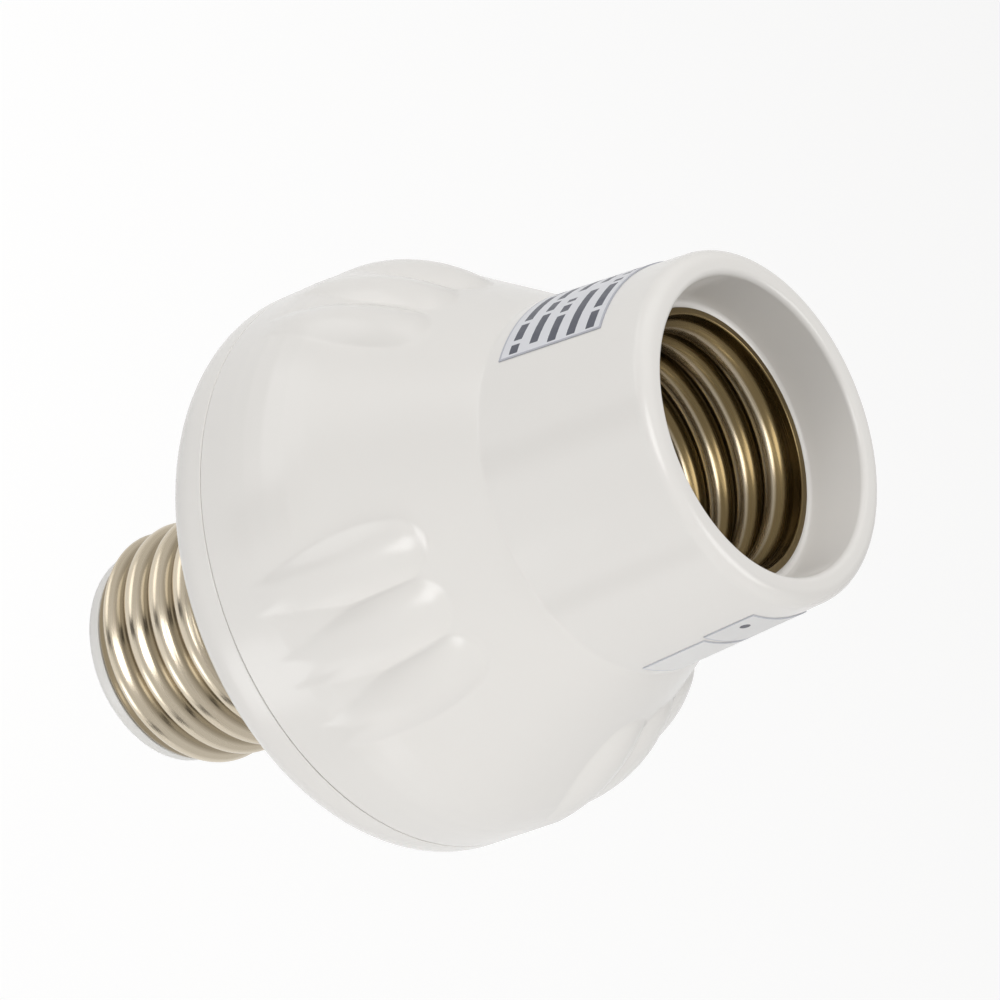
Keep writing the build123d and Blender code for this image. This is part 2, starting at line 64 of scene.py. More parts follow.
# Housing plastic: injection-moulded in an off-white gloss, with the faint unevenness
# and the very fine texture that a polished mould leaves.
class Value:
    """A socket of a node tree that can be used in sums as a number can."""

    def __init__(self, nodes, socket):
        self.nodes = nodes
        self.socket = socket

    def __add__(self, other):
        return self.nodes.maths("ADD", self, other)

    def __radd__(self, other):
        return self.nodes.maths("ADD", other, self)

    def __sub__(self, other):
        return self.nodes.maths("SUBTRACT", self, other)

    def __rsub__(self, other):
        return self.nodes.maths("SUBTRACT", other, self)

    def __mul__(self, other):
        return self.nodes.maths("MULTIPLY", self, other)

    def __rmul__(self, other):
        return self.nodes.maths("MULTIPLY", other, self)

    def __truediv__(self, other):
        return self.nodes.maths("DIVIDE", self, other)

    def floor(self):
        return self.nodes.maths("FLOOR", self)

    def over(self, edge):
        return self.nodes.maths("GREATER_THAN", self, edge)

    def under(self, edge):
        return self.nodes.maths("LESS_THAN", self, edge)


class Nodes:
    """A node tree that nodes are added to."""

    def __init__(self, tree):
        self.tree = tree

    def add(self, kind, values=(), output=0, **settings):
        """Add a node: its settings first, then its sockets, by order or by name.

        The output may be one name, a tuple of names, or None for the last node of a tree.
        """
        node = self.tree.nodes.new(kind)
        for setting, value in settings.items():
            setattr(node, setting, value)
        pairs = values.items() if isinstance(values, dict) else enumerate(values)
        for socket, value in pairs:
            if isinstance(value, Value):
                self.tree.links.new(value.socket, node.inputs[socket])
            else:
                node.inputs[socket].default_value = value
        if output is None:
            return node
        if isinstance(output, tuple):
            return tuple(Value(self, node.outputs[name]) for name in output)
        return Value(self, node.outputs[output])

    def maths(self, operation, *values):
        return self.add("ShaderNodeMath", values, operation=operation)

    def span(self, value, low, high, start, end):
        """Carry a value from one range to another."""
        return self.add("ShaderNodeMapRange", [value, low, high, start, end])


class Surface(Nodes):
    """A finish: one Principled shader with its even settings, and the nodes that vary it."""

    def __init__(self, name, **even):
        self.material = bpy.data.materials.new(name)
        self.material.use_nodes = True
        super().__init__(self.material.node_tree)
        self.shader = self.tree.nodes["Principled BSDF"]
        for setting, value in even.items():
            self.shader.inputs[setting].default_value = value
        self.place = self.add("ShaderNodeTexCoord", output="Object")

    def feed(self, socket, value):
        self.tree.links.new(value.socket, self.shader.inputs[socket])

    def clouds(self, scale, detail=3.0):
        """Soft noise, with so many patches to a metre."""
        return self.add(
            "ShaderNodeTexNoise", {"Vector": self.place, "Scale": scale, "Detail": detail}
        )

    def streaks(self, across, along):
        """Noise drawn out round the axis, by its patches to a metre across and along it."""
        stretched = self.add(
            "ShaderNodeVectorMath", [self.place, (across, across, along)], operation="MULTIPLY"
        )
        return self.add("ShaderNodeTexNoise", {"Vector": stretched, "Scale": 1.0, "Detail": 2.0})

    def blend(self, share, first, second):
        """Mix two colours, or a link and a colour, by a share."""
        first, second = (
            colour if isinstance(colour, Value) else (*colour, 1) for colour in (first, second)
        )
        return self.add(
            "ShaderNodeMix", {"Factor": share, 6: first, 7: second}, output=2, data_type="RGBA"
        )

    def mottle(self, scale, dark, light):
        """Let the colour drift between two tones."""
        self.feed("Base Color", self.blend(self.clouds(scale), dark, light))

    def rub(self, noise, smooth, rough):
        """Let the roughness drift between two levels, over the noise's usual range."""
        self.feed("Roughness", self.span(noise, 0.3, 0.7, smooth, rough))

    def relief(self, height, distance, strength):
        bump = {"Strength": strength, "Distance": distance, "Height": height}
        self.feed("Normal", self.add("ShaderNodeBump", bump))


housing_plastic = Surface("housing_plastic", IOR=1.47)
housing_plastic.mottle(28.0, (0.795, 0.775, 0.745), (0.825, 0.808, 0.78))
housing_plastic.feed(
    "Roughness", housing_plastic.span(housing_plastic.clouds(90.0), 0.0, 1.0, 0.19, 0.24)
)
housing_plastic.relief(housing_plastic.clouds(1600.0, 1.0), 0.000003, 0.3)

# Front shell: one moulding with the dome, the tapered neck and the mouth. The sleeve
# behind the mouth carries the screw shell. Sizes are in millimetres.
mm = 0.001
dome_radius = 30.3
seam_height = 11.7
seam_gap = 0.1
seam_round = 0.12
crown_arc_radius = 17.8
cone_angle = 28.6
crown_corner = 19.937
neck_base = (19.65, 39.47)
neck_mouth_radius = 18.25
mouth_height = 59.6
recess_radius = 15.5
recess_floor_radius = 14.9
ledge_height = 52.9
housing_wall = 2.0
sleeve_bore = 13.8
sleeve_outer = 15.1
sleeve_foot = 30.6
sleeve_gap_top = 51.0
inside_wall = dome_radius - housing_wall
inside_corner = crown_corner - housing_wall * tan(radians(cone_angle / 2))
inside_top = neck_mouth_radius - housing_wall
inside_neck = inside_corner + (inside_wall - inside_top) / tan(radians(cone_angle))


def rounded(corners, step_angle=9.0):
    """An outline from corners (radius, height, round): each round becomes an arc."""
    outline = []
    count = len(corners)
    for index, (x, y, fillet) in enumerate(corners):
        if not fillet:
            outline.append((x, y))
            continue
        here = Vector((x, y))
        back = (Vector(corners[index - 1][:2]) - here).normalized()
        ahead = (Vector(corners[(index + 1) % count][:2]) - here).normalized()
        half = back.angle(ahead) / 2
        centre = here + (back + ahead).normalized() * (fillet / sin(half))
        first = here + back * (fillet / tan(half)) - centre
        last = here + ahead * (fillet / tan(half)) - centre
        sweep = first.angle_signed(last)
        steps = max(2, ceil(abs(degrees(sweep)) / step_angle))
        for step in range(steps + 1):
            spoke = first.copy()
            spoke.rotate(Matrix.Rotation(-sweep * step / steps, 2))
            outline.append(tuple(centre + spoke))
    return outline


def stepped(outline, finest):
    """The same outline with no run longer than this."""
    points = [outline[0]]
    for (x, y), (next_x, next_y) in zip(outline, outline[1:]):
        runs = max(1, ceil(hypot(next_x - x, next_y - y) / finest))
        for run in range(1, runs + 1):
            points.append((x + (next_x - x) * run / runs, y + (next_y - y) * run / runs))
    return points


def finished(name, mesh):
    """Turn the faces outwards, shade them smoothly up to creases, and make the object."""
    bmesh.ops.recalc_face_normals(mesh, faces=mesh.faces)
    data = bpy.data.meshes.new(name)
    mesh.to_mesh(data)
    mesh.free()
    data.shade_smooth()
    data.set_sharp_from_angle(angle=radians(38))
    piece = bpy.data.objects.new(name, data)
    bpy.context.collection.objects.link(piece)
    return piece


weld_distance = 1e-6


def spun(name, outline, turns):
    """Spin a closed outline of (radius, height) in millimetres round the axis.

    An eighth of the turn is spun, and then doubled three times.
    """
    mesh = bmesh.new()
    ring = [mesh.verts.new((x * mm, 0, y * mm)) for x, y in outline]
    for start, end in zip(ring, ring[1:] + ring[:1]):
        mesh.edges.new((start, end))
    bmesh.ops.spin(
        mesh,
        geom=mesh.verts[:] + mesh.edges[:],
        cent=(0, 0, 0),
        axis=(0, 0, 1),
        angle=pi / 4,
        steps=turns // 8,
    )
    for part_turn in (pi / 4, pi / 2, pi):
        copy = bmesh.ops.duplicate(mesh, geom=mesh.verts[:] + mesh.edges[:] + mesh.faces[:])
        bmesh.ops.rotate(
            mesh,
            cent=(0, 0, 0),
            matrix=Matrix.Rotation(part_turn, 3, "Z"),
            verts=[item for item in copy["geom"] if isinstance(item, bmesh.types.BMVert)],
        )
    bmesh.ops.remove_doubles(mesh, verts=mesh.verts, dist=weld_distance)
    return finished(name, mesh)


def dress(piece, surface, slot, *nodes, body="housing"):
    """Give a piece its finish, its body and the solids that it stands for. The slot is not used."""
    piece.data.materials.append(surface.material)
    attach(piece, body)
    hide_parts(*nodes)


shell_corners = rounded(
    [
        (inside_wall, seam_height + seam_gap / 2, 0),
        (dome_radius, seam_height + seam_gap / 2, seam_round),
        (dome_radius, crown_corner, crown_arc_radius),
        (*neck_base, 1.0),
        (neck_mouth_radius, mouth_height, 1.5),
        (recess_radius, mouth_height, 0.7),
        (recess_floor_radius, ledge_height, 0.5),
        (sleeve_bore, ledge_height, 0),
        (sleeve_bore, sleeve_foot, 0),
        (sleeve_outer, sleeve_foot, 0),
        (sleeve_outer, sleeve_gap_top, 0),
        (inside_top, sleeve_gap_top, 0),
        (inside_top, inside_neck, 0),
        (inside_wall, inside_corner, 0),
    ]
)
# The dome gets fine steps for its ribs, up to just below the neck.
fine_top = 38.0
dome_end = next(index for index, (x, y) in enumerate(shell_corners) if y > fine_top)
shell_outline = stepped(shell_corners[: dome_end + 1], 0.42) + shell_corners[dome_end + 1 :]
front_shell = spun("front_shell", shell_outline, 640)

# Finger ribs: pads moulded on the dome in groups of three, blunt towards the neck and
# fading into the dome towards the seam. Each is a round finger bent to the dome, by an
# arc through its tail, middle and nose, which are given as (radius, height).
rib_groups = 4
ribs_per_group = 3
rib_step_angle = 14.9
rib_group_angle = 11.4
rib_radius = 5.1
rib_blend = 0.07
rib_reach_angle = 16
ribs_low = 12.4
ribs_high = 37.0
skin_depth = 1.5
rib_tail = Vector((25.2, 14.0))
rib_middle = Vector((24.998, 19.949))
rib_nose = Vector((20.899, 28.407))
tail_to_middle = rib_middle - rib_tail
tail_to_nose = rib_nose - rib_tail
crossing = 2 * (tail_to_middle.x * tail_to_nose.y - tail_to_middle.y * tail_to_nose.x)
middle_square = tail_to_middle.length_squared
nose_square = tail_to_nose.length_squared
rib_centre = rib_tail + Vector(
    (
        (tail_to_nose.y * middle_square - tail_to_middle.y * nose_square) / crossing,
        (tail_to_middle.x * nose_square - tail_to_nose.x * middle_square) / crossing,
    )
)
rib_bend = (rib_nose - rib_centre).length
tail_angle = atan2(rib_tail.y - rib_centre.y, rib_tail.x - rib_centre.x)
nose_angle = atan2(rib_nose.y - rib_centre.y, rib_nose.x - rib_centre.x)


def rib_proud(out, aside, height):
    """How far a finger stands past a point out and aside from its own upright plane."""
    angle = atan2(height - rib_centre.y, out - rib_centre.x)
    angle = min(max(angle, tail_angle), nose_angle)
    spine_out = rib_centre.x + rib_bend * cos(angle)
    spine_height = rib_centre.y + rib_bend * sin(angle)
    return rib_radius - sqrt((out - spine_out) ** 2 + aside**2 + (height - spine_height) ** 2)


def smooth_max(first, second, width):
    """The larger of two lengths, with the change from one to the other rounded."""
    overlap = max(width - abs(first - second), 0) / width
    return max(first, second) + overlap * overlap * width / 4


crown_arc_foot = crown_corner - 4.5
crown_arc_height = 9.1


def dome_lean(height):
    """The lean of the dome's skin: none below the crown's arc, the cone's above it."""
    share = (height - crown_arc_foot) / crown_arc_height
    return radians(min(max(share, 0), 1) * cone_angle)


def inner_radius(height):
    """The radius of the inner wall at a height, below the neck."""
    return inside_wall - max(height - inside_corner, 0) * tan(radians(cone_angle))


rib_angles = [
    rib_group_angle + 360 / rib_groups * group + rib_step_angle * (place - (ribs_per_group - 1) / 2)
    for group in range(rib_groups)
    for place in range(ribs_per_group)
]
for vertex in front_shell.data.vertices:
    height = vertex.co.z / mm
    radius = hypot(vertex.co.x, vertex.co.y) / mm
    in_skin = radius >= inner_radius(height) + housing_wall - skin_depth
    if not (ribs_low < height < ribs_high and in_skin):
        continue
    angle = degrees(atan2(vertex.co.y, vertex.co.x))
    proud = 0.0
    for rib_angle in rib_angles:
        aside = (angle - rib_angle + 180) % 360 - 180
        if abs(aside) < rib_reach_angle:
            across = radius * sin(radians(aside))
            out = radius * cos(radians(aside))
            proud = smooth_max(proud, rib_proud(out, across, height), rib_blend)
    if proud > 0:
        lean = dome_lean(height)
        scale = min(radius + proud * cos(lean), dome_radius) / radius
        vertex.co.x *= scale
        vertex.co.y *= scale
        vertex.co.z += proud * mm * sin(lean)
front_shell.data.update()
dress(front_shell, housing_plastic, "housing_plastic", "front_shell")

# Rear cover: the shallow bowl behind the seam, moulded in the same plastic, with the lap
# that is welded inside the front shell, the board's ledge and the stem for the cap.
stem_bore = 10.18
stem_radius = 11.68
stem_foot = -9.0
cap_seat_radius = 12.65
lap_outer = 28.15
lap_inner = 26.95
cover_floor = 2.0
board_ledge_radius = 24.0
board_ledge_top = 8.0
cover_outline = rounded(
    [
        (stem_bore, stem_foot, 0),
        (stem_radius, stem_foot, 0.3),
        (stem_radius, -3.5, 0),
        (cap_seat_radius, -3.5, 0),
        (cap_seat_radius, 0, 0),
        (18.0, 0, 1.2),
        (dome_radius, 7.4, 5.0),
        (dome_radius, seam_height - seam_gap / 2, seam_round),
        (lap_outer, seam_height - seam_gap / 2, 0),
        (lap_outer, 14.7, 0),
        (lap_inner, 14.7, 0),
        (lap_inner, board_ledge_top, 0),
        (board_ledge_radius, board_ledge_top, 0),
        (board_ledge_radius, 5.943, 0),
        (17.445, cover_floor, 0),
        (stem_bore, cover_floor, 0),
    ],
    step_angle=6.0,
)
rear_cover = spun("rear_cover", cover_outline, 480)
dress(rear_cover, housing_plastic, "housing_plastic", "rear_cover")

# Nickel plate: the screw shells are drawn and rolled from brass sheet, then plated. The
# rollers leave fine lines round the axis. The plate is a little warm in tone. Painted shade
# darkens it in the grooves, which lie inwards on the cap and outwards above.
nickel = Surface("nickel_plate", Metallic=1.0)
warm_nickel = (0.56, 0.48, 0.35)
clear_nickel = (0.70, 0.63, 0.52)
# The dark colour of the painted shade in the thread's grooves.
groove_shade_colour = (0.17, 0.125, 0.06)
x, y, z = nickel.add("ShaderNodeSeparateXYZ", [nickel.place], output=("X", "Y", "Z"))
from_axis = nickel.maths("SQRT", x * x + y * y)
# Painted shade: masks that darken the plate in the grooves of the cap and of the socket.
cap_groove_shade = z.under(0.0) * nickel.span(from_axis, 12.6 * mm, 12.15 * mm, 0.0, 1.0)
socket_groove_shade = z.over(0.0) * nickel.span(from_axis, 12.28 * mm, 12.65 * mm, 0.0, 1.0)
bright_nickel = nickel.blend(nickel.clouds(60.0), warm_nickel, clear_nickel)
nickel.feed(
    "Base Color", nickel.blend(cap_groove_shade * 0.8 + socket_groove_shade, bright_nickel, groove_shade_colour)
)
roller_lines = nickel.streaks(60.0, 4200.0)
nickel.rub(roller_lines, 0.2, 0.3)
nickel.relief(roller_lines, 0.00002, 0.35)

# Screw cap: the plated shell below the housing, its knuckle thread rolled between
# formers so that it runs out into a plain barrel at each end.
thread_pitch = 3.629
cap_crest = 13.1
cap_root = 12.13
sheet = 0.3


def knuckle(along, crest, root):
    """The radius of the thread's section this far along the axis from a crest."""
    quarter = thread_pitch / 4
    half_depth = abs(crest - root) / 2
    bend = (quarter**2 + half_depth**2) / (2 * half_depth)
    along = abs((along + thread_pitch / 2) % thread_pitch - thread_pitch / 2)
    rise = bend - half_depth
    if along < quarter:
        wave = sqrt(bend**2 - along**2) - rise
    else:
        wave = rise - sqrt(bend**2 - (thread_pitch / 2 - along) ** 2)
    return (crest + root) / 2 + (1 if crest > root else -1) * wave


def roll_thread(piece, crest, root, low, high, phase, fade):
    """Press the thread through both walls of a barrel, fading out at both heights."""
    for vertex in piece.data.vertices:
        height = vertex.co.z / mm
        if not low < height < high:
            continue
        angle = degrees(atan2(vertex.co.y, vertex.co.x))
        share = min(height - low, high - height, fade) / fade
        share = share * share * (3 - 2 * share)
        wave = knuckle(height - phase - thread_pitch * angle / 360, crest, root)
        scale = 1 + (wave - root) * share * mm / hypot(vertex.co.x, vertex.co.y)
        vertex.co.x *= scale
        vertex.co.y *= scale
    piece.data.update()


cap_outline = rounded(
    [
        (cap_crest, 0.0, 0),
        (cap_crest, -3.8, 0.5),
        (cap_root, -4.9, 0.8),
        (cap_root, -22.6, 0.9),
        (10.2, -22.6, 0),
        (10.2, -22.3, 0),
        (cap_root - sheet, -22.3, 0.6),
        (cap_root - sheet, -4.7, 0.5),
        (cap_crest - sheet, -3.6, 0.3),
        (cap_crest - sheet, 0.0, 0),
    ]
)
thread_step = 0.22
shell_turns = 296
cap_shell = spun("cap_shell", stepped(cap_outline, thread_step), shell_turns)
roll_thread(cap_shell, cap_crest, cap_root, low=-21.6, high=-4.6, phase=1.71, fade=1.4)
dress(cap_shell, nickel, "nickel_plate", "cap_shell")

# Insulator: the cap's end is a moulded white disc. It is held by the turned-in sheet, and
# the contact's rivet goes through its middle.
insulator_plastic = Surface("insulator_plastic", IOR=1.5)
insulator_plastic.mottle(160.0, (0.74, 0.73, 0.70), (0.80, 0.79, 0.77))
insulator_plastic.rub(insulator_plastic.clouds(700.0), 0.3, 0.42)
insulator_outline = rounded(
    [
        (1.5, -20.7, 0),
        (11.0, -20.7, 0.2),
        (11.0, -22.3, 0),
        (10.1, -22.3, 0),
        (10.1, -22.6, 0),
        (11.8, -22.6, 0.15),
        (11.8, -23.9, 1.2),
        (10.9, -24.8, 1.0),
        (6.2, -25.4, 0.8),
        (1.5, -25.4, 0),
    ]
)
cap_insulator = spun("cap_insulator", insulator_outline, 160)
dress(cap_insulator, insulator_plastic, "insulator_plastic", "cap_insulator")

# Contact at the tip: a tinned rivet through the insulator, spread over at its inner end.
# The tin has run unevenly.
solder = Surface("solder", Metallic=1.0)
solder.mottle(420.0, (0.50, 0.49, 0.46), (0.68, 0.67, 0.64))
solder.rub(solder.clouds(900.0), 0.25, 0.45)
solder.relief(solder.clouds(500.0, 2.0), 0.00008, 0.6)
contact_outline = rounded(
    [
        (0.0, -27.0, 0),
        (3.4, -27.0, 1.2),
        (4.75, -26.3, 0.5),
        (4.75, -25.4, 0),
        (1.45, -25.4, 0),
        (1.45, -20.7, 0),
        (2.4, -20.7, 0.1),
        (2.4, -20.0, 0.3),
        (1.45, -20.0, 0),
        (1.45, -18.0, 0.3),
        (0.0, -18.0, 0),
    ]
)
cap_contact = spun("cap_contact", contact_outline, 96)
dress(cap_contact, solder, "solder", "cap_contact")

# Screw shell for the lamp: the same plated sheet with its thread rolled inwards, a lip
# on the ledge of the mouth and a turned-in floor on the base.
socket_crest = 12.25
socket_root = 13.35
socket_outline = rounded(
    [
        (9.0, 33.5, 0),
        (socket_root, 33.5, 0.6),
        (socket_root, 53.3, 0.2),
        (14.15, 53.3, 0.15),
        (14.15, ledge_height, 0),
        (socket_root + sheet, ledge_height, 0),
        (socket_root + sheet, 33.2, 0.8),
        (9.0, 33.2, 0),
    ]
)
socket_shell = spun("socket_shell", stepped(socket_outline, thread_step), shell_turns)
roll_thread(socket_shell, socket_crest, socket_root, low=34.6, high=52.7, phase=1.06, fade=1.3)
dress(socket_shell, nickel, "nickel_plate", "socket_shell")

# Base of the screw shell: a pale heat-proof moulding at the bottom of the mouth. It is
# welded under the sleeve and guides the centre contact.
base_plastic = Surface("base_plastic", IOR=1.5)
base_plastic.mottle(220.0, (0.62, 0.59, 0.53), (0.72, 0.69, 0.63))
base_plastic.rub(base_plastic.clouds(800.0), 0.45, 0.6)
base_plastic.relief(base_plastic.clouds(1400.0), 0.00004, 0.5)


def finish(surface, *names):
    """Give a finish to solids that keep their own shape."""
    for name in names:
        for material_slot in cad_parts[name].material_slots:
            material_slot.material = surface.material


finish(base_plastic, "socket_base")

# Centre contact: a turned brass plunger with a domed head, which slides in the base and
# is stopped by its ring. The terminals are stamped from the same brass.
contact_brass = Surface("contact_brass", Metallic=1.0)
contact_brass.mottle(380.0, (0.62, 0.46, 0.20), (0.80, 0.64, 0.34))
contact_brass.rub(contact_brass.streaks(900.0, 900.0), 0.18, 0.34)
plunger_outline = rounded(
    [
        (0.0, 34.6, 0),
        (1.6, 34.6, 0.8),
        (3.2, 34.1, 0.35),
        (3.2, 33.3, 0.12),
        (1.55, 33.3, 0),
        (1.55, 27.0, 0.25),
        (0.0, 27.0, 0),
    ]
)
centre_contact = spun("centre_contact", plunger_outline, 96)
dress(centre_contact, contact_brass, "contact_brass", "centre_contact", body="plunger")
finish(contact_brass, "centre_terminal", "neutral_terminal")

# Spring and ring: bright drawn steel wire coiled under the plunger's head, and a stamped
# ring below the base. The coil stands on its terminal and is pressed with the plunger.
spring_steel = Surface("spring_steel", Metallic=1.0)
spring_steel.mottle(500.0, (0.46, 0.46, 0.46), (0.62, 0.62, 0.61))
spring_steel.rub(spring_steel.clouds(900.0), 0.22, 0.36)
finish(spring_steel, "retaining_ring")
coil_mesh = bmesh.new()
coil_mesh.from_mesh(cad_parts["contact_spring"].data)
bmesh.ops.remove_doubles(coil_mesh, verts=coil_mesh.verts, dist=weld_distance)
contact_coil = finished("contact_coil", coil_mesh)
dress(contact_coil, spring_steel, "spring_steel", "contact_spring")
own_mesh(contact_coil)

# Circuit board: green coated laminate, glued on the ledge of the rear cover. The weave
# of the glass cloth shows faintly through the coat.
board_laminate = Surface("board_laminate", IOR=1.5)
glass_cloth = board_laminate.add(
    "ShaderNodeTexVoronoi", {"Vector": board_laminate.place, "Scale": 1600.0}
)
board_laminate.feed(
    "Base Color", board_laminate.blend(glass_cloth, (0.02, 0.16, 0.07), (0.05, 0.27, 0.12))
)
board_laminate.rub(board_laminate.clouds(300.0), 0.28, 0.42)
finish(board_laminate, "circuit_board", "radio_module")


# Parts on the board: moulded cases, an aluminium can in a sleeve and a lacquered
# resistor, all soldered on the board.
def moulded(name, dark, light, smooth):
    """The finish of a moulded case or a drawn sleeve, a little uneven in colour."""
    surface = Surface(name, IOR=1.5)
    surface.mottle(260.0, dark, light)
    surface.rub(surface.clouds(1100.0), smooth, smooth + 0.12)
    surface.relief(surface.clouds(1500.0), 0.00003, 0.4)
    return surface


blue_case = moulded("blue_case", (0.03, 0.12, 0.36), (0.06, 0.19, 0.46), 0.38)
finish(blue_case, "relay", "varistor")
yellow_case = moulded("yellow_case", (0.68, 0.52, 0.08), (0.8, 0.66, 0.16), 0.36)
finish(yellow_case, "film_capacitor")
black_case = moulded("black_case", (0.03, 0.03, 0.034), (0.055, 0.055, 0.06), 0.42)
finish(black_case, "electrolytic_capacitor", "bridge_rectifier", "power_chip")
green_sleeve = moulded("green_sleeve", (0.1, 0.33, 0.24), (0.15, 0.43, 0.32), 0.3)
finish(green_sleeve, "fusible_resistor")

# Choke: enamelled copper wire wound on a core and soldered on the board. Its turns show
# as fine ridges.
winding_copper = Surface("winding_copper", Metallic=0.7)
turns_of_wire = winding_copper.streaks(40.0, 2600.0)
winding_copper.feed(
    "Base Color", winding_copper.blend(turns_of_wire, (0.32, 0.12, 0.04), (0.72, 0.36, 0.16))
)
winding_copper.rub(winding_copper.clouds(600.0), 0.25, 0.4)
winding_copper.relief(turns_of_wire, 0.0001, 0.8)
finish(winding_copper, "choke")

# Radio shield: a lid stamped from tin-plated sheet. It covers the radio's parts and is
# soldered on the upright board.
tin_shield = Surface("tin_shield", Metallic=1.0)
tin_shield.mottle(240.0, (0.58, 0.58, 0.57), (0.72, 0.72, 0.71))
tin_shield.rub(tin_shield.clouds(800.0), 0.28, 0.42)
finish(tin_shield, "radio_shield")

# Wires: stiff copper leads, soldered at both ends, in brown sleeves for live and blue
# ones for neutral.
live_sleeve = moulded("live_wire_sleeve", (0.28, 0.08, 0.04), (0.38, 0.12, 0.06), 0.34)
finish(live_sleeve, "wire_live_in", "wire_switched_live")
neutral_sleeve = moulded("neutral_wire_sleeve", (0.04, 0.1, 0.38), (0.07, 0.16, 0.48), 0.34)
finish(neutral_sleeve, "wire_neutral_in", "wire_neutral_out")

# Labels: film and paper stuck round the neck, each with a thin outline. Places on them
# are given by the height in millimetres and the angle round the neck.
label_radius = 18.9


class Paper(Surface):
    """Stuck paper or film, with its ground, a thin outline and what is printed on it."""

    def __init__(self, name, smooth):
        super().__init__(name, IOR=1.45)
        x, y, self.z = self.add("ShaderNodeSeparateXYZ", [self.place], output=("X", "Y", "Z"))
        self.along = self.maths("ARCTAN2", y, x) * (label_radius * mm)
        self.rub(self.clouds(1200.0), smooth, smooth + 0.14)
        self.relief(self.clouds(2200.0), 0.00001, 0.5)

    def bordered(self, dark, light, line, low, high, first, last, width):
        """The ground with a thin line along its edges, from heights and angles."""
        ground = self.blend(self.clouds(300.0), dark, light)
        start = radians(first) * label_radius * mm
        end = radians(last) * label_radius * mm
        inside = self.z.over((low + width) * mm) * self.z.under((high - width) * mm)
        inside = inside * self.along.over(start + width * mm) * self.along.under(end - width * mm)
        return self.blend(1 - inside, ground, line)


# Large label: silver-grey film with five rows of plain bars. Each row is cut into short
# cells, of which some are left out by chance, so that the bars differ in length.
silver_label = Paper("silver_label", 0.34)
rows_low = 41.75
row_step = 2.36
last_row = 4
bar_low = 0.28
bar_high = 0.72
cell_length = 0.62
bars_first_angle = -51.9
gap_chance = 0.24
rows = (silver_label.z - rows_low * mm) / (row_step * mm)
row = rows.floor()
within_row = rows - row
bars_start = radians(bars_first_angle) * label_radius * mm
cells = (bars_start - silver_label.along) / (cell_length * mm)
cell_place = silver_label.add("ShaderNodeCombineXYZ", [cells.floor(), row, 0.0])
chance = silver_label.add(
    "ShaderNodeTexWhiteNoise", {"Vector": cell_place}, noise_dimensions="2D"
)
printed = within_row.over(bar_low) * within_row.under(bar_high)
printed = printed * row.over(-0.5) * row.under(last_row + 0.5)
printed = printed * cells.over(0.0) * chance.over(gap_chance)
silver_film = silver_label.bordered(
    dark=(0.69, 0.695, 0.73),
    light=(0.75, 0.755, 0.79),
    line=(0.46, 0.47, 0.52),
    low=41.27,
    high=53.8,
    first=-110.0,
    last=-50.5,
    width=0.22,
)
silver_label.feed("Base Color", silver_label.blend(printed, silver_film, (0.07, 0.075, 0.1)))
finish(silver_label, "rating_label")

# Small stickers: plain white paper on the other side of the neck, the one near the mouth
# with a plain dot.
strip_paper = Paper("strip_paper", 0.4)
strip_ground = strip_paper.bordered(
    dark=(0.78, 0.775, 0.765),
    light=(0.82, 0.815, 0.805),
    line=(0.60, 0.61, 0.65),
    low=40.57,
    high=48.6,
    first=67.0,
    last=100.0,
    width=0.16,
)
strip_paper.feed("Base Color", strip_ground)
finish(strip_paper, "blank_sticker")

seal_paper = Paper("seal_paper", 0.4)
seal_ground = seal_paper.bordered(
    dark=(0.72, 0.715, 0.71),
    light=(0.78, 0.775, 0.77),
    line=(0.55, 0.56, 0.60),
    low=49.2,
    high=55.6,
    first=64.5,
    last=92.0,
    width=0.16,
)
dot_angle = 69.5
dot_height = 53.2
dot_radius = 0.55
dot_aside = seal_paper.along - radians(dot_angle) * label_radius * mm
dot_up = seal_paper.z - dot_height * mm
dot = (dot_aside * dot_aside + dot_up * dot_up).under((dot_radius * mm) ** 2)
seal_paper.feed("Base Color", seal_paper.blend(dot, seal_ground, (0.1, 0.1, 0.12)))
finish(seal_paper, "seal_sticker")

# Floor: a plain pale floor well below the object, which is held by its cap. It is lit as
# any board is, and glows besides where the camera or a gloss sees it.
floor_height = -0.25
floor_half_width = 4.0
floor_grey = (0.45, 0.45, 0.45, 1)
floor_glow = 0.66
floor_mesh = bmesh.new()
bmesh.ops.create_grid(floor_mesh, x_segments=1, y_segments=1, size=floor_half_width)
bmesh.ops.translate(floor_mesh, verts=floor_mesh.verts, vec=(0, 0, floor_height))
floor = finished("studio_floor", floor_mesh)
floor_paint = bpy.data.materials.new("floor_paint")
floor_paint.use_nodes = True
floor_paint.node_tree.nodes.clear()
floor_nodes = Nodes(floor_paint.node_tree)
seeing_rays = ("Is Camera Ray", "Is Glossy Ray")
camera_ray, gloss_ray = floor_nodes.add("ShaderNodeLightPath", output=seeing_rays)
glow_level = floor_nodes.maths("MAXIMUM", camera_ray, gloss_ray) * floor_glow
paint = floor_nodes.add("ShaderNodeBsdfDiffuse", {"Color": floor_grey})
glow = floor_nodes.add("ShaderNodeEmission", {"Color": (1, 1, 1, 1), "Strength": glow_level})
painted = floor_nodes.add("ShaderNodeAddShader", [paint, glow])
floor_nodes.add("ShaderNodeOutputMaterial", {"Surface": painted}, output=None)
floor.data.materials.append(floor_paint)

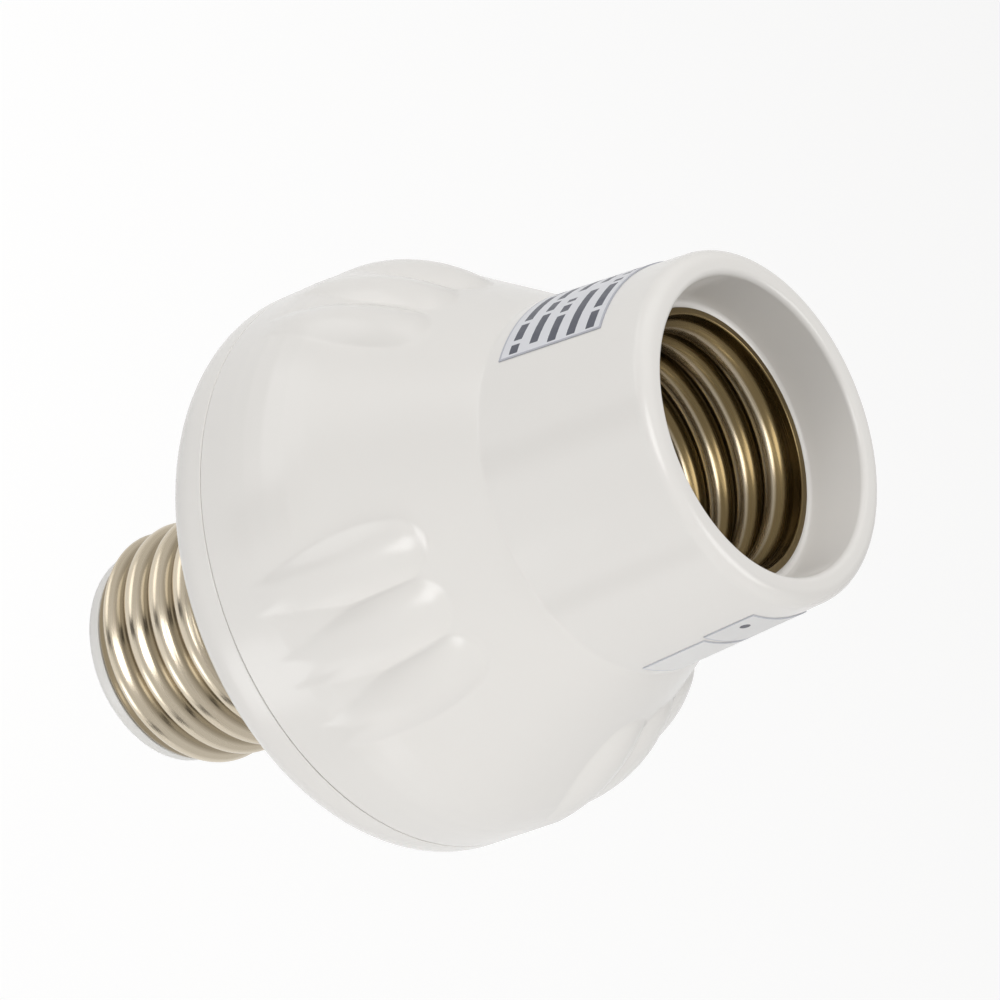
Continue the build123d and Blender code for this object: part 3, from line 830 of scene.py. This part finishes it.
# Tent: a pale cloth all round the object. It gives a dim light, shows brighter in a
# gloss, and is white where the camera sees it.
tent_light = 0.33
tent_in_gloss = 0.75
tent = bpy.data.worlds.new("studio_tent")
bpy.context.scene.world = tent
tent.use_nodes = True
tent_nodes = Nodes(tent.node_tree)
camera_ray, gloss_ray = tent_nodes.add("ShaderNodeLightPath", output=seeing_rays)
mirrored = tent_nodes.span(gloss_ray, 0.0, 1.0, tent_light, tent_in_gloss)
tent_strength = tent_nodes.maths("MAXIMUM", mirrored, camera_ray)
backdrop = tent.node_tree.nodes["Background"]
backdrop.inputs["Color"].default_value = (1.0, 0.99, 0.975, 1)
tent.node_tree.links.new(tent_strength.socket, backdrop.inputs["Strength"])
bpy.context.scene.view_settings.view_transform = "Standard"


# Lamps: round softboxes about the object, placed by the picture: to the right, up, and
# back towards the camera, in metres from the housing. Two fill lamps don't show in gloss.
def softbox(name, right, up, back, width, height, power, shines=True):
    """A soft lamp turned to the housing, with its size in metres and its power in watts."""
    lamp = bpy.data.lights.new(name, "AREA")
    lamp.shape = "ELLIPSE"
    lamp.size = width
    lamp.size_y = height
    lamp.energy = power
    holder = bpy.data.objects.new(name, lamp)
    holder.visible_glossy = shines
    housing_middle = Vector((0, 0, 0.025))
    place = picture_right * right + picture_up * up - camera_look * back
    facing = place.to_track_quat("Z", "Y").to_matrix().to_4x4()
    holder.matrix_world = Matrix.Translation(housing_middle + place) @ facing
    bpy.context.collection.objects.link(holder)


softbox("upper_left_softbox", -0.64, 0.62, 0.15, 0.8, 0.8, 1.9)
softbox("top_softbox", 0.0, 0.8, 0.3, 0.5, 0.5, 2.0, shines=False)
softbox("right_softbox", 0.85, -0.1, 0.3, 0.5, 0.5, 2.0)
softbox("low_softbox", -0.2, -0.85, 0.3, 0.5, 0.5, 5.0, shines=False)
softbox("front_softbox", 0.1, 0.25, 0.85, 0.5, 0.5, 2.6)
softbox("lower_card", -0.233, -0.177, 0.067, 0.12, 0.16, 0.09)

# Dark flags: two narrow dark boards stand beside the cap, so that its bright plate has
# the dark bands that show its roundness. They are seen in the gloss only.
flag_distance = 0.35
flag_middle = -0.09
flag_height = 0.3
flag_cloth = bpy.data.materials.new("flag_cloth")
flag_cloth.use_nodes = True
cloth = flag_cloth.node_tree.nodes["Principled BSDF"]
cloth.inputs["Base Color"].default_value = (0.03, 0.022, 0.014, 1)
cloth.inputs["Roughness"].default_value = 0.9
for name, bearing, width in (("flag_left", -34, 0.1), ("flag_right", 52, 0.07)):
    flag_mesh = bmesh.new()
    bmesh.ops.create_grid(flag_mesh, x_segments=1, y_segments=1, size=0.5)
    bmesh.ops.scale(flag_mesh, verts=flag_mesh.verts, vec=(width, flag_height, 1))
    upright = Matrix.Rotation(radians(bearing + 90), 4, "Z") @ Matrix.Rotation(pi / 2, 4, "X")
    away = Matrix.Rotation(radians(bearing), 4, "Z") @ Vector((flag_distance, 0, flag_middle))
    bmesh.ops.transform(
        flag_mesh, verts=flag_mesh.verts, matrix=Matrix.Translation(away) @ upright
    )
    flag = finished(name, flag_mesh)
    flag.data.materials.append(flag_cloth)
    flag.visible_camera = False
    flag.visible_diffuse = False
    flag.visible_shadow = False
